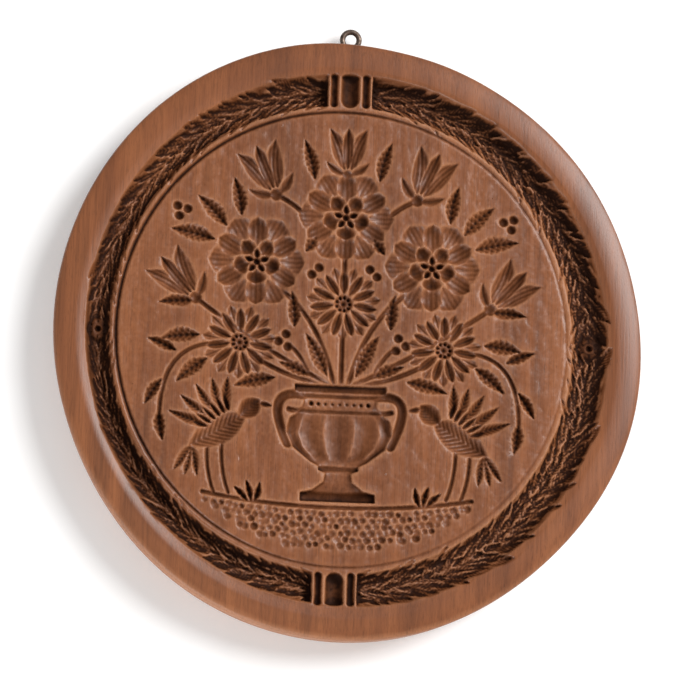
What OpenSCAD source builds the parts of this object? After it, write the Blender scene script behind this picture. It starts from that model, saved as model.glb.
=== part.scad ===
// Springerle mould: a turned board carved in intaglio, with a screw eye to hang it by.
// The board lies on its back, carved face up. +Y points to the eye, and the origin is the centre of the back.

/* [Board] */
// Longest diameter, near the run of the grain (mm)
board_l = 213.2; // [190:0.2:240]
// Shortest diameter, across the grain (mm)
board_w = 206.8; // [186:0.2:236]
// Turn of the longest diameter from the line of the eye (degrees)
oval_turn = 20; // [0:1:30]
// Thickness at the crest of the rim (mm)
board_t = 18; // [15:0.5:26]
// Height that the rim's crest stands above the carved field (mm)
crown = 1; // [0.4:0.1:1.4]
// Distance of the rim's crest from the edge (mm)
crest_in = 6.8; // [5:0.1:8]
// Fall of the rim from its crest to the rounded edge (mm)
edge_fall = 1.3; // [0.8:0.1:2]
// Rounding of the edge between rim and side wall (mm)
edge_round = 1.2; // [0.6:0.1:2]
// Chamfer round the back (mm)
back_chamfer = 1; // [0.5:0.25:2]
// Sideways place of all that lies inside the wreath's outer lip, which was set out by hand (mm)
carve_x = -2.1; // [-3:0.1:3]
// Its lengthways place (mm)
carve_y = -0.2; // [-3:0.1:3]

/* [Wreath] */
// Width of the rim outside the wreath (mm)
rim_w = 11.1; // [9:0.1:13]
// Width of the wreath between the mean lips (mm)
wreath_w = 11.4; // [9:0.1:14]
// Depth of the wreath's channel below the field (mm)
wreath_depth = 4.2; // [2.5:0.1:4.8]
// Width of the channel's floor (mm)
floor_w = 4; // [3:0.25:6]
// Leaves on each lip in a quarter of the wreath
leaf_count = 16; // [10:1:20]
// How far a leaf tip pokes past the mean lip (mm)
tip_out = 0.9; // [0.4:0.1:1.2]
// Depth of the leaf tips below the field (mm)
tip_depth = 1.5; // [1:0.1:2]
// Depth of the small leaves below the channel's floor (mm)
vein_depth = 0.6; // [0.3:0.1:1]

/* [Ribbon bands] */
// Width of the middle flute (mm)
flute_wide = 6.6; // [4:0.1:8]
// Width of the two outer flutes (mm)
flute_narrow = 2.9; // [2:0.1:4]
// Wood left between the flutes (mm)
ridge_w = 1; // [0.8:0.1:2]
// Depth of the middle flute below the field (mm)
flute_depth = 2.3; // [1:0.1:2.4]

/* [Ring line] */
// Wood between the wreath and the ring line (mm)
ring_gap = 1.6; // [1.2:0.1:3]
// Width of the ring line (mm)
ring_w = 0.9; // [0.5:0.1:1.5]
// Depth of the ring line (mm)
ring_depth = 0.7; // [0.4:0.1:1]

/* [Field] */
// Plain ground left between the ring line and the carving (mm)
field_gap = 3; // [2:0.5:6]
// Depth of the deepest cuts, as a share of what is drawn
cut_share = 1; // [0.6:0.05:1.2]
// Depth of the urn's outline below the field (mm)
urn_depth = 1.2; // [0.8:0.1:1.6]
// Width of a stem (mm)
stem_w = 1.6; // [0.8:0.1:2]
// Depth of a stem (mm)
stem_depth = 1.1; // [0.6:0.1:1.4]

/* [Hanging eye] */
// Wire of the ring (mm)
eye_wire = 2; // [1.6:0.1:2.4]
// Outside of the ring (mm)
eye_ring = 8; // [7:0.1:10]
// Shank below its thread's crest (mm)
shank_d = 1.9; // [1.4:0.1:2.2]
// Length of the shank in the wood (mm)
shank_l = 14; // [8:0.5:20]
// Length of the shank's point (mm)
point_l = 3; // [2:0.5:5]
// Running gap between shank and pilot hole, on the radius (mm)
pilot_gap = 0.05; // [0.03:0.01:0.15]
// Wood or air left past the shank's point and under the ring (mm)
end_gap = 0.3; // [0.2:0.1:1]
// Height of the shank above the back, low so that the board hangs flat (mm)
eye_z = 5.5; // [5.2:0.1:9]

/* [Hidden] */

// Four arcs make the oval: two tighter ones at its ends and two flatter ones at its sides.
// Their centres lie off the middle by arc_s each way, in axes turned 45 degrees from the oval's own.
arc_s = round((board_l - board_w) / 4 / (sqrt(2) - 1) * 1000) / 1000;
arc_end = round((board_l / 2 - arc_s * sqrt(2)) * 1000) / 1000;
arc_side = arc_end + 2 * arc_s;
arc_turn = 45 + oval_turn;
ARCS = [[[arc_s, arc_s], arc_end], [[arc_s, -arc_s], arc_side],
        [[-arc_s, -arc_s], arc_end], [[-arc_s, arc_s], arc_side]];

field_z = board_t - crown;
// The wreath's outer lip runs along the edge. Its inner lip, the ring line and the field are a little off the middle.
wreath_in = rim_w + wreath_w;
ring_in = wreath_in + ring_gap + ring_w / 2;
field_r = board_w / 2 - ring_in - ring_w / 2 - field_gap;
// The field's design is drawn on a circle of 75 mm and follows the field.
draw = field_r / 75;
band_w = flute_wide + 2 * flute_narrow + 4 * ridge_w;
over = 1.5;

// A place on the board: at the angle a of the outward normal, and off mm outside the edge
function turned(p, a) = [p[0] * cos(a) - p[1] * sin(a), p[0] * sin(a) + p[1] * cos(a)];
function sector(a) = floor(((a - arc_turn) % 360 + 360) % 360 / 90);
function edge_at(a, off) =
  turned(ARCS[sector(a)][0], arc_turn) + (ARCS[sector(a)][1] + off) * [cos(a), sin(a)];
// The eye is set in the top of the edge.
eye_x = edge_at(90, 0)[0];
edge_y = edge_at(90, 0)[1];
eye_y = edge_y + end_gap + eye_ring / 2;

// Section of the board from its middle to its edge, for an arc of radius r. The rim's top is a flat arch.
edge_z = board_t - edge_fall - edge_round;
function board_section(r) = concat(
  [[0, 0], [r - back_chamfer, 0], [r, back_chamfer], [r, edge_z]],
  [for (i = [1:3]) [r - edge_round + edge_round * cos(i * 22), edge_z + edge_round * sin(i * 22)]],
  [for (i = [1:3]) let (k = 1 - i / 3) [r - crest_in + k * (crest_in - edge_round), board_t - edge_fall * k * k]],
  [[r - crest_in - (rim_w - crest_in) / 2, board_t - crown * 0.16], [r - rim_w, board_t - crown * 0.64],
   [r - rim_w - 1.2, field_z], [0, field_z]]);

module arc_place(i) translate([ARCS[i][0][0], ARCS[i][0][1], 0]) rotate([0, 0, 90 * i]) children();

module blank() rotate([0, 0, arc_turn])
  for (i = [0:3]) arc_place(i) rotate_extrude(angle = 90, $fn = 120) polygon(board_section(ARCS[i][1]));

// Wreath: a channel with leaf tips along both lips, which lean from the bands towards the sides.
function outer_lip(a, off) = edge_at(a, off - rim_w);
function inner_lip(a, off) = [carve_x, carve_y] + edge_at(a, off - wreath_in);
function middle(a) = (outer_lip(a, 0) + inner_lip(a, 0)) / 2;
function room(a) = norm(outer_lip(a, 0) - inner_lip(a, 0));
// One leaf's edge, as shares of the way along the lip and of the way out from it
LEAF = [[0, -0.7], [0.3, 0.1], [0.6, 0.65], [0.9, 1]];
function lip(a0, a1, outer) = [for (i = [0:leaf_count - 1], s = LEAF)
  let (a = a0 + (a1 - a0) * (i + s[0]) / leaf_count) outer ? outer_lip(a, tip_out * s[1]) : inner_lip(a, -tip_out * s[1])];
function back(list) = [for (i = [len(list) - 1:-1:0]) list[i]];
function half_lip(a, outer) = concat(lip(90, a, outer), back(lip(a == 0 ? -90 : 270, a, outer)));

module leaf_tips() translate([0, 0, field_z - tip_depth]) linear_extrude(tip_depth + over)
  for (a = [0, 180]) polygon(concat(half_lip(a, true), back(half_lip(a, false))));

// The channel is what lies between a bowl with the outer lip and a plug with the inner one.
slope_w = (wreath_w - floor_w) / 2;
slope_over = slope_w * over / wreath_depth;
module oval_disc(z0, off0, z1, off1) rotate([0, 0, arc_turn])
  for (i = [0:3]) arc_place(i) rotate_extrude(angle = 90, $fn = 120)
    let (r = ARCS[i][1]) polygon([[0, z0], [r + off0, z0], [r + off1, z1], [0, z1]]);
module channel() difference() {
  oval_disc(field_z - wreath_depth, -rim_w - slope_w, field_z + over, -rim_w + slope_over);
  translate([carve_x, carve_y, 0]) oval_disc(field_z - 2 * wreath_depth, -wreath_in + 2 * slope_w,
    field_z + 2 * over, -wreath_in - 2 * slope_over);
}

// Small leaves in the channel's floor, one to each tip, and a rosette where the two sprays meet
module in_channel(a) let (p = middle(a))
  translate([p[0], p[1], field_z - wreath_depth]) rotate([0, 0, a]) children();
module vein_leaves() {
  for (q = [[90, 0], [-90, 0], [90, 180], [270, 180]], i = [1:leaf_count - 2])
    let (a = q[0] + (q[1] - q[0]) * (i + 0.5) / leaf_count)
      in_channel(a) rotate([0, 0, q[1] > q[0] ? 90 : -90]) gouge(wreath_w * 0.55, floor_w * 0.4, vein_depth);
  for (a = [0, 180], i = [0:5]) in_channel(a) rotate([0, 0, 60 * i]) translate([floor_w * 0.5, 0, 0])
    gouge(floor_w * 0.6, floor_w * 0.35, vein_depth);
}

module bands() for (a = [90, 270]) {
  p = middle(a);
  translate([p[0], p[1], field_z]) rotate([0, 0, a]) children();
}

module wreath() difference() {
  union() {
    channel();
    leaf_tips();
  }
  bands() cube([3 * wreath_w, band_w, 4 * wreath_depth], center = true);
}

// A flute: a round-bottomed cut of width w and depth d, with sloping ends that run out above the field
module flute(w, d) {
  r = (w * w / 4 + d * d) / 2 / d;
  e = (r - d) / 2;
  l = room(90) / 2 + tip_out;
  translate([0, 0, r - d]) rotate([0, 90, 0]) rotate_extrude($fn = 96)
    polygon([[0, -l - e], [e, -l - e], [r, d - l], [r, l - d], [e, l + e], [0, l + e]]);
}
flute_y = (flute_wide + flute_narrow) / 2 + ridge_w;
module flutes() bands() {
  flute(flute_wide, flute_depth);
  for (s = [-1, 1]) translate([0, s * flute_y, 0]) flute(flute_narrow, min(flute_depth * 0.6, flute_narrow * 0.45));
}

module ring_line() rotate([0, 0, arc_turn])
  for (i = [0:3]) arc_place(i) rotate_extrude(angle = 90, $fn = 120)
    let (r = ARCS[i][1] - ring_in) polygon([[r - ring_w, field_z + ring_depth], [r, field_z - ring_depth], [r + ring_w, field_z + ring_depth]]);

// V-gouge cut of length l, width w and depth d at the surface z = 0, along +X from a blunter base to a finer tip.
// Each wall is a prism with the same bowed section, leaned to one side, and the cut is what the two share.
BOW = [for (i = [0:6]) i / 3 - 1];
function bow(u) = (1 - u * u) * (1 - 0.25 * u);
module gouge(l, w, d) {
  lift = 0.4;
  half_l = l / 2 * sqrt((d + lift) / d);
  half_w = w / 2 * (d + lift) / d;
  lean = atan2(half_w, d + lift);
  reach = (d + lift) * sin(lean);
  translate([0, 0, lift]) intersection() {
    gouge_wall(1, half_l, reach, lean, 3 * (d + lift + half_w));
    gouge_wall(-1, half_l, reach, lean, 3 * (d + lift + half_w));
  }
}
module gouge_wall(s, half_l, reach, lean, h) rotate([-s * lean, 0, 0]) linear_extrude(h, center = true)
  polygon(concat([for (u = BOW) [half_l * u, s * reach * bow(u)]], [[half_l, -s * reach], [-half_l, -s * reach]]));

// The field's drawing, in its own millimetres: a footed urn with a bouquet between two birds
module cut(x, y, a, l, w, d) translate([draw * x, draw * y, field_z]) rotate([0, 0, a])
  translate([draw * l / 2, 0, 0]) gouge(draw * l, draw * w, cut_share * d);

module petals(x, y, n, start, l, w, d, a0) for (i = [0:n - 1])
  let (a = a0 + 360 * i / n) cut(x + start * cos(a), y + start * sin(a), a, l, w, d);
module rose(x, y) {
  petals(x, y, 6, 7.6, 9, 9.6, 1.4, 120);
  petals(x, y, 6, 5, 10.6, 9, 2.3, 90);
  petals(x, y, 5, 1, 5.6, 4, 1.8, 90);
}
module daisy(x, y) petals(x, y, 11, 2.8, 9, 4, 1.8, 90);
module tulip(x, y, a, k = 1) for (t = [-1, 0, 1])
  cut(x + 2.2 * k * cos(a + 35 * t), y + 2.2 * k * sin(a + 35 * t), a + 20 * t, (t == 0 ? 17 : 18) * k, 6.6 * k, 2.2);
module berry(x, y) cut(x - 1.7, y, 0, 3.4, 3.4, 1.2);

module bird(x, y) {
  cut(x + 10.5, y - 6.3, 149, 23, 10.6, 2.9);
  cut(x - 6.3, y + 4.2, 138, 10, 7, 2.3);
  cut(x - 12.8, y + 9.8, 190, 5.6, 2.2, 1.2);
  for (i = [0:2]) cut(x + 9, y - 5.6, -100 + 22 * i, 11, 3, 1.6);
  for (i = [0:4]) cut(x + 1.6 - 0.9 * i, y + 1.6 + i, 15 + 19 * i, 17 - i, 3.8, 1.8);
  stem([x - 1, y - 5], [x - 1, y - 15], [x - 4, y - 22], stem_w);
  stem([x + 4, y - 7], [x + 4, y - 15], [x + 1, y - 22.5], stem_w);
}

function bend(p, q, r, t) = (1 - t) * (1 - t) * p + 2 * t * (1 - t) * q + t * t * r;
function across(p, q, r, t) = let (v = (1 - t) * (q - p) + t * (r - q)) [-v[1], v[0]] / norm(v);
module stem(p, q, r, w) translate([0, 0, field_z - stem_depth]) linear_extrude(stem_depth + over)
  polygon(concat(
    [for (t = [0:0.125:1]) draw * (bend(p, q, r, t) + w / 2 * across(p, q, r, t))],
    [for (t = [1:-0.125:0]) draw * (bend(p, q, r, t) - w / 2 * across(p, q, r, t))]));

// Half widths of the urn from its foot to its lip
URN = [[-58, 13], [-55, 13], [-54, 9], [-51, 5], [-48, 4.5], [-47, 7], [-45.5, 7], [-44, 10], [-39, 16.5],
       [-34, 19], [-29, 17.5], [-25, 12.5], [-22, 11.5], [-19.5, 16], [-17, 16]];
module urn() {
  translate([0, 0, field_z - urn_depth]) linear_extrude(urn_depth + over)
    polygon(draw * concat([for (p = URN) [p[1], p[0]]], [for (p = back(URN)) [-p[1], p[0]]]));
  for (i = [-2:2]) cut(6.4 * i, -43 + abs(i), 90, 15.5 - 2 * abs(i), 5.2, 2.4);
  cut(-14, -18.2, 0, 28, 2, 1.8);
  cut(-11.5, -56.5, 0, 23, 2.4, 1.8);
}

// Leaves on the right: base, direction, length and width
LEAVES = [[5, -14, 62, 17, 6.6], [11, -14, 22, 12, 5.6], [17, 3, 84, 13, 5.4], [23, -15, -14, 15, 6],
          [52, 11, -5, 13, 5], [46, 33, 12, 16, 6.6], [42, 38, 45, 15, 6.2], [37, 42, 78, 14, 5.6],
          [11.5, 56, 74, 15, 5.4], [50, -1, -8, 14, 6.2], [47, -9, -40, 14, 5.8], [58, -7, 22, 11, 4.6],
          [62.5, -17, -58, 11, 4.4], [63, -28, -98, 11, 4.6], [14, 30, 120, 10, 5],
          [30, -59, 75, 8, 3.2], [31, -59, 45, 7.5, 3], [29, -59, 105, 7.5, 3]];
BERRIES = [[19, -4], [22.4, -2.2], [19.8, 0.4], [56, 43.5], [58.8, 41], [59.5, 44.5], [9, 24.5], [11.5, 22]];
module half_field() {
  rose(31, 26);
  daisy(36, -3);
  tulip(52, 12, 48);
  tulip(25, 50, 66);
  bird(42, -34);
  for (v = LEAVES) cut(v[0], v[1], v[2], v[3], v[4], 1.8);
  for (v = BERRIES) berry(v[0], v[1]);
  stem([2.5, -17], [8, 6], [22, 16], stem_w);
  stem([6, -17], [22, -14], [30, -8], stem_w);
  stem([4, -17], [30, -4], [52, 12], stem_w);
  stem([8, 33], [12, 44], [25, 50], stem_w);
  stem([12, -12], [15, -6], [18, -4], stem_w);
  stem([46, -4], [63, -6], [63, -29], stem_w);
  stem([12, -21], [28, -18], [18, -38], 2 * stem_w);
  stem([0, -60], [26, -60], [47, -56], stem_w);
}
// Short cuts in rows for the ground
module ground() for (r = [0:2], i = [-6 + r:6 - r])
  cut(6 * i + (r % 2 == 0 ? 0 : 1), -64 - 3.6 * r + 0.06 * i * i, 20, 3.6, 1.5, 0.8);
module field() {
  half_field();
  mirror([1, 0, 0]) half_field();
  rose(0, 43);
  daisy(0, 12);
  tulip(0, 58, 90, 0.9);
  urn();
  ground();
  stem([0, -17], [0, -9], [0, 0], stem_w);
  stem([0, 22], [0, 25], [0, 30], stem_w);
}

module pilot() translate([eye_x, edge_y + over, eye_z]) rotate([90, 0, 0])
  cylinder(d = shank_d + 2 * pilot_gap, h = shank_l + end_gap + over, $fn = 48);

module mould_board() color([0.45, 0.22, 0.12]) difference() {
  blank();
  wreath();
  vein_leaves();
  flutes();
  translate([carve_x, carve_y, 0]) {
    ring_line();
    field();
  }
  pilot();
}

// Screw eye: a ring of wire on a pointed shank, whose thread is taken as plain
module hanging_eye() color([0.32, 0.24, 0.18]) translate([eye_x, eye_y, eye_z]) {
  rotate_extrude($fn = 96) translate([(eye_ring - eye_wire) / 2, 0]) circle(d = eye_wire, $fn = 48);
  translate([0, -(eye_ring - eye_wire) / 2, 0]) rotate([90, 0, 0]) {
    neck = eye_wire / 2 + end_gap + shank_l - point_l;
    cylinder(d = shank_d, h = neck, $fn = 48);
    translate([0, 0, neck]) cylinder(d1 = shank_d, d2 = shank_d / 8, h = point_l, $fn = 48);
  }
}

mould_board();
hanging_eye();
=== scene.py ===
import math
import bpy
import numpy as np
from mathutils import Matrix, Vector


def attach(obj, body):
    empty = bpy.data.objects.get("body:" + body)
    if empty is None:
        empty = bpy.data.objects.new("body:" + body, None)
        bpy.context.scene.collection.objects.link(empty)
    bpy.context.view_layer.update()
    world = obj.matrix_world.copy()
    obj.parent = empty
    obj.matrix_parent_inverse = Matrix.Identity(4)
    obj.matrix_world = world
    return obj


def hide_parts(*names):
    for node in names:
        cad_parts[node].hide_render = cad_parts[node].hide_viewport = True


# Springerle mould: a turned fruitwood board carved in intaglio, and the screw eye it hangs by. Sizes are in
# millimetres until a mesh is made. Angles are in degrees, or in radians where a name ends in At.
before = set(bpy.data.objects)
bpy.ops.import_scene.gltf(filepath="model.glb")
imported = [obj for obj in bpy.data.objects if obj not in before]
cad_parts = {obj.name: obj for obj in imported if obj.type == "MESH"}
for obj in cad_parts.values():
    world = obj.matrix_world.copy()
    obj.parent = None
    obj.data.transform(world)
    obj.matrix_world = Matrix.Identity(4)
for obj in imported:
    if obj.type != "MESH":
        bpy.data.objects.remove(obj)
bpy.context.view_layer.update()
rng = np.random.default_rng(11)
scene = bpy.context.scene

# The board. A triple is a mean, a swing and the angle at which the value is greatest as it changes round
# the board.
board = {
    "meanR": 105.0, "swing": 1.6, "turn": 110,  # turned oval
    # hand finish: growth all round, and the depth, angle and width of the dip by the eye
    "grow": 0.1, "dip": (0.6, 84, 10),
    # waves round the edge, their height and their phase
    "wander": ((2, 0.17, -95), (3, 0.50, 21), (4, 0.25, 0), (5, 0.16, -130), (6, 0.15, -94),
               (7, 0.13, -130)),
    "thick": 18.0, "crown": 1.0, "edgeRound": (1.25, 0.6, 230), "chamfer": 1.0,
    "crest": (2.95, 1.0, 232), "outSlope": (0.22, 0.12, 15), "inSlope": (0.28, 0.12, 226),
    "outPower": 2, "inPower": 1.3, "passOver": 8,
    "carveX": -2.1, "carveY": -0.2,  # the carving sits off the board's centre
    "rimW": 11.1, "wreathW": 11.4, "trough": 4.6, "fieldIn": 26.6,
    "lipOut": (0.0, 2.1, 5.4, 0.0, 0), "lipIn": (0.0, 0.0, 0, 0.7, 40),
    "ringIn": 24.55, "ringW": (0.85, 0.2), "ringD": (0.78, 0.47), "ringAt": 2.8,
    "draw": 1.0053,  # the field's drawing is spread by this much to fill the field
    "cells": 440, "triangles": 196000,
}
fieldZ = board["thick"] - board["crown"]


# radius of the turned oval: the mean plus the swing times the cosine of twice the angle from its long axis
def ovalRadius(angle):
    return board["meanR"] + board["swing"] * np.cos(2 * (angle - math.radians(board["turn"])))


# the edge was finished by hand, so cosine waves of 2 to 7 rounds wander from the oval, and it dips beside
# the eye as a bell curve of the angle
def edgeRadius(angle):
    r = ovalRadius(angle) + board["grow"]
    for rounds, height, phase in board["wander"]:
        r = r + height * np.cos(rounds * angle - math.radians(phase))
    deep, at, wide = board["dip"]
    aside = angle - math.radians(at)
    aside = np.degrees(np.arctan2(np.sin(aside), np.cos(aside)))
    return r - deep * np.exp(-(aside / wide) ** 2)


# a value that changes once round the board: its mean plus its swing times the cosine of the angle from its
# peak. The edge's rounding is greatest at the lower left, where handling has worn it most.
def swung(name, angle):
    mean, swing, at = board[name]
    return mean + swing * np.cos(angle - math.radians(at))


# shift of a lip of the wreath from the oval about the carving's centre: a mean one, a sideways one and an
# oval one
def lipShift(name, angle):
    mean, side, sideAngle, oval, ovalAngle = board[name]
    sideways = side * np.cos(angle - math.radians(sideAngle))
    return mean + sideways + oval * np.cos(2 * angle - math.radians(ovalAngle))


# height of the rim's top at a distance off outside the edge: a flat arch whose crest lies nearest to the
# wreath at the upper right. It falls as the distance from the crest to a power, one outside it and one
# inside it, and passes over to the field's level under the wreath.
def rimTop(off, angle):
    inner = swung("crest", angle)
    outer = board["rimW"] - inner - swung("edgeRound", angle)
    outside = np.maximum(board["rimW"] - inner + off, 0) / outer
    inside = np.clip((-off - board["rimW"] + inner) / inner, 0, 1)
    fall = swung("outSlope", angle) * outer / board["outPower"] * outside ** board["outPower"]
    mean, swing, at = board["inSlope"]
    slope = mean + swing * np.cos(2 * (angle - math.radians(at)))
    drop = slope * inner / board["inPower"] * inside ** board["inPower"]
    below = np.clip((-off - board["rimW"]) / board["passOver"], 0, 1)
    return board["thick"] - fall - drop - (board["crown"] - drop) * below


# Carving: a fine grid of depths, centred on the carving, which each cut deepens
cell = 0.16
reachR = 98.0
line = np.arange(-reachR, reachR + cell, cell)
gridX, gridY = np.meshgrid(line, line)
depth = np.zeros_like(gridX)
spare = 1.1  # a cut's window reaches this many times its length or radius


# slices of the grid that hold every point within a reach of a place
def window(px, py, reach):
    spans = []
    for p in (py, px):
        ends = [(p - reach + reachR) / cell, (p + reach + reachR) / cell + 2]
        spans.append(slice(*np.clip(ends, 0, len(line)).astype(int)))
    return tuple(spans)


# deepens the grid about a place: each point takes the greater of its own depth and the shape's
def press(px, py, reach, shape):
    part = window(px, py, reach)
    np.maximum(depth[part], shape(gridX[part] - px, gridY[part] - py), out=depth[part])


# how a leaf cut is finished: power of its depth towards the ends, fade of its lines at the edge, half width
# of its midrib, and slants of its side veins and of its sawn edge
leafCut = {"ends": 0.6, "fade": 4, "midrib": 0.45, "veinSlant": 1.1, "sawSlant": 0.2}


# leaf-shaped hollow from a base to a tip: with u from -1 to 1 along it, the width falls as (1 - u^2)(1 +
# blunt u), and the depth across it as 1 - (distance / half width) ^ crisp. A bell-shaped midrib, cosine
# waves that slant from it or run along it, and a sawn edge can be added.
def leafDepth(along, across, l, w, d, blunt=-0.25, crisp=1.7, vein=0.0, ribs=0.0, comb=0.0, saw=0.0,
              pitch=2.2):
    u = np.clip(2 * along / l - 1, -1, 1)
    f = (1 - u * u) * (1 + blunt * u)
    if saw:
        f = f * (1 - saw * np.mod(along / pitch + leafCut["sawSlant"] * np.abs(across), 1))
    ratio = np.abs(across) / (w / 2) / np.maximum(f, 1e-3)
    body = np.clip(1 - ratio ** crisp, 0, 1) * np.maximum(f, 0) ** leafCut["ends"]
    inside = np.clip(body * leafCut["fade"], 0, 1)
    lines = vein * np.exp(-(across / leafCut["midrib"]) ** 2)
    lines = lines + ribs * np.cos(2 * np.pi * (along - leafCut["veinSlant"] * np.abs(across)) / pitch)
    lines = lines + comb * np.cos(2 * np.pi * across / pitch)
    return d * body + inside * lines


# a leaf cut with its base at a place, turned by deg and bowed sideways by bow times along (l - along) / l
def cut(x, y, deg, l, w, d, bow=0.0, **style):
    k = board["draw"]
    l, w = l * k, w * k
    c, s = math.cos(math.radians(deg)), math.sin(math.radians(deg))

    def shape(dx, dy):
        along = dx * c + dy * s
        across = dy * c - dx * s - bow * along * (l - along) / l
        return leafDepth(along, across, l, w, d, **style)
    press(x * k, y * k, l * spare, shape)


# round hollow: its depth times the square root of 1 - (distance / radius)^2
def dish(x, y, r, d):
    def shape(dx, dy):
        return d * np.sqrt(np.clip(1 - (dx * dx + dy * dy) / r ** 2, 0, 1))
    press(x * board["draw"], y * board["draw"], r * spare, shape)


# n leaf cuts set evenly round a centre, each based at the distance start from it and pointing outward
def petals(x, y, n, start, l, w, d, first=90, **style):
    for i in range(n):
        a = first + 360 * i / n
        cut(x + start * math.cos(math.radians(a)), y + start * math.sin(math.radians(a)), a, l, w, d, **style)


# points of a curve from p to r drawn towards q: (1 - t)^2 p + 2 t (1 - t) q + t^2 r
def curve(p, q, r, t):
    t = np.asarray(t)[:, None]
    return (1 - t) ** 2 * np.array(p) + 2 * t * (1 - t) * np.array(q) + t * t * np.array(r)


# round-bottomed groove along a curve, as a row of dishes so close that they run together
def stem(p, q, r, w, d, dishes=80):
    for x, y in curve(p, q, r, np.linspace(0, 1, dishes)):
        dish(x, y, w / 2, d)


# flowers, before their size is applied. A row of petals, from the outside in, has a count, the place of the
# bases, a length, a width, a share of the depth, the first angle and the style of its cuts. A heart has a
# radius and a share of the depth, and seeds have a count, a place, a radius and a share.
flowers = {
    "rose": {
        "deep": 3.3, "size": 1.22, "hearts": ((1.2, 1.25),), "seeds": (0, 0, 0, 0),
        "rows": (
            (6, 6.2, 7.6, 8.6, 0.6, 120, {"blunt": 0.4, "crisp": 2.2, "comb": 0.12, "pitch": 1.7}),
            (6, 4.0, 8.8, 7.8, 0.82, 90, {"blunt": 0.35, "crisp": 2.2, "comb": 0.12, "pitch": 1.7}),
            (5, 1.6, 5.6, 5.6, 1.0, 54, {"blunt": 0.3, "crisp": 2.2, "comb": 0.072, "pitch": 1.5}),
            (5, 0.4, 3.4, 2.8, 1.15, 90, {"blunt": 0.2}),
        ),
    },
    "daisy": {
        "deep": 2.5, "size": 1.18, "hearts": ((2.9, 0.9), (1.0, 1.25)), "seeds": (9, 1.9, 0.72, 1.2),
        "rows": (
            (11, 5.0, 6.2, 3.2, 0.62, 106, {"blunt": 0.3, "comb": 0.16, "pitch": 1.1}),
            (11, 2.4, 7.7, 3.5, 1.0, 90, {"blunt": 0.35, "crisp": 2.0, "comb": 0.16, "pitch": 1.1}),
        ),
    },
}


# a round flower seen from the front: rows of petals about a heart and a ring of seeds
def flower(kind, x, y):
    spec = flowers[kind]
    d, k = spec["deep"], spec["size"]
    for n, start, l, w, share, first, style in spec["rows"]:
        petals(x, y, n, start * k, l * k, w * k, share * d, first=first, **style)
    for r, share in spec["hearts"]:
        dish(x, y, r * k, share * d)
    n, place, r, share = spec["seeds"]
    for i in range(n):
        a = math.radians(360 * i / n)
        dish(x + place * k * math.cos(a), y + place * k * math.sin(a), r * k, share * d)


tulipCut = {
    "deep": 3.0, "size": 1.12, "start": 2, "spread": 35, "fan": 20, "length": (16, 15), "width": 6.2,
    "share": (0.85, 1.1), "bow": -0.28, "style": {"comb": 0.18, "pitch": 1.4, "crisp": 2.2},
    "leaf": (58, 9, 3.2, 1.5, 0.35), "cup": (2.0, 2.0),
}


# a tulip seen from the side: two outer petals that bow outward, a middle one over them, two small leaves
# and a cup
def tulip(x, y, deg, scale=1.0):
    k = tulipCut["size"] * scale
    start = tulipCut["start"] * k
    for t in (-1, 1, 0):
        a = math.radians(deg + tulipCut["spread"] * t)
        middle = int(t == 0)
        d = tulipCut["deep"] * tulipCut["share"][middle]
        cut(x + start * math.cos(a), y + start * math.sin(a), deg + tulipCut["fan"] * t,
            tulipCut["length"][middle] * k, tulipCut["width"] * k, d, bow=tulipCut["bow"] * t,
            **tulipCut["style"])
    lean, l, w, d, bow = tulipCut["leaf"]
    for t in (-1, 1):
        cut(x, y, deg + lean * t, l * k, w * k, d, bow=bow * t, vein=0.25)
    dish(x, y, tulipCut["cup"][0] * k, tulipCut["cup"][1])


# a standing bird, drawn about its breast and mirrored where s is -1: each line below is one kind of cut
def bird(x, y, s, k=1.05):
    def at(dx, dy, deg, l, w, d, **style):
        cut(s * (x + k * dx), y + k * dy, deg if s > 0 else 180 - deg, k * l, k * w, d, **style)
    for i in range(3):  # tail
        at(8.6, -5.3, -100 + 22 * i, 10.8, 3.2, 2.1, ribs=0.2, vein=0.2, pitch=1.5)
    at(10, -6, 149, 22, 10.5, 3.4, ribs=0.2, pitch=2.0, crisp=2.2, blunt=0.1)  # body
    at(-6, 4, 138, 9.8, 7, 3.0, crisp=2.2, blunt=0.2, ribs=0.12, pitch=1.5)  # head
    at(-12.2, 9.3, 190, 5.5, 2.2, 1.7)  # beak
    for i in range(5):  # raised wing
        at(1.5 - 0.9 * i, 1.5 + i, 15 + 19 * i, 16.5 - i, 3.9, 2.3, ribs=0.22, vein=0.25, pitch=1.6,
           bow=-0.12 * s)
    for i in range(6):  # short feathers over the wing's root
        at(3 - 1.2 * i, 0.6 + 1.1 * i, 18 + 11 * i, 7.5, 2.8, 3.7, ribs=0.12, pitch=1.3)
    stem((s * (x - 1), y - 5), (s * (x - 1), y - 15), (s * (x - 4), y - 22), 1.4, 1.2)  # legs
    stem((s * (x + 4), y - 7), (s * (x + 4), y - 15), (s * (x + 1), y - 22.5), 1.4, 1.2)


# The field's drawing, right half, mirrored on the left. A leaf has the place of its base, an angle, a
# length and a width. A stem has three points of its curve, a width and a depth.
leafStyle = {"vein": 0.45, "ribs": 0.17, "saw": 0.2, "pitch": 2.1, "crisp": 2.0}
leafDeep, leafBow = 2.6, 0.18
leaves = [(5, -14, 62, 17, 6.6), (11, -14, 22, 12, 5.6), (17, 3, 84, 13, 5.4), (23, -15, -14, 15, 6),
          (52, 11, -5, 13, 5), (46, 33, 12, 16, 6.6), (42, 38, 45, 15, 6.2), (37, 42, 78, 14, 5.6),
          (11.5, 56, 74, 15, 5.4), (50, -1, -8, 14, 6.2), (47, -9, -40, 14, 5.8), (58, -7, 22, 11, 4.6),
          (62.5, -17, -58, 11, 4.4), (63, -28, -98, 11, 4.6), (14, 30, 120, 10, 5),
          (30, -59, 75, 8, 3.2), (31, -59, 45, 7.5, 3), (29, -59, 105, 7.5, 3)]
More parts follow.
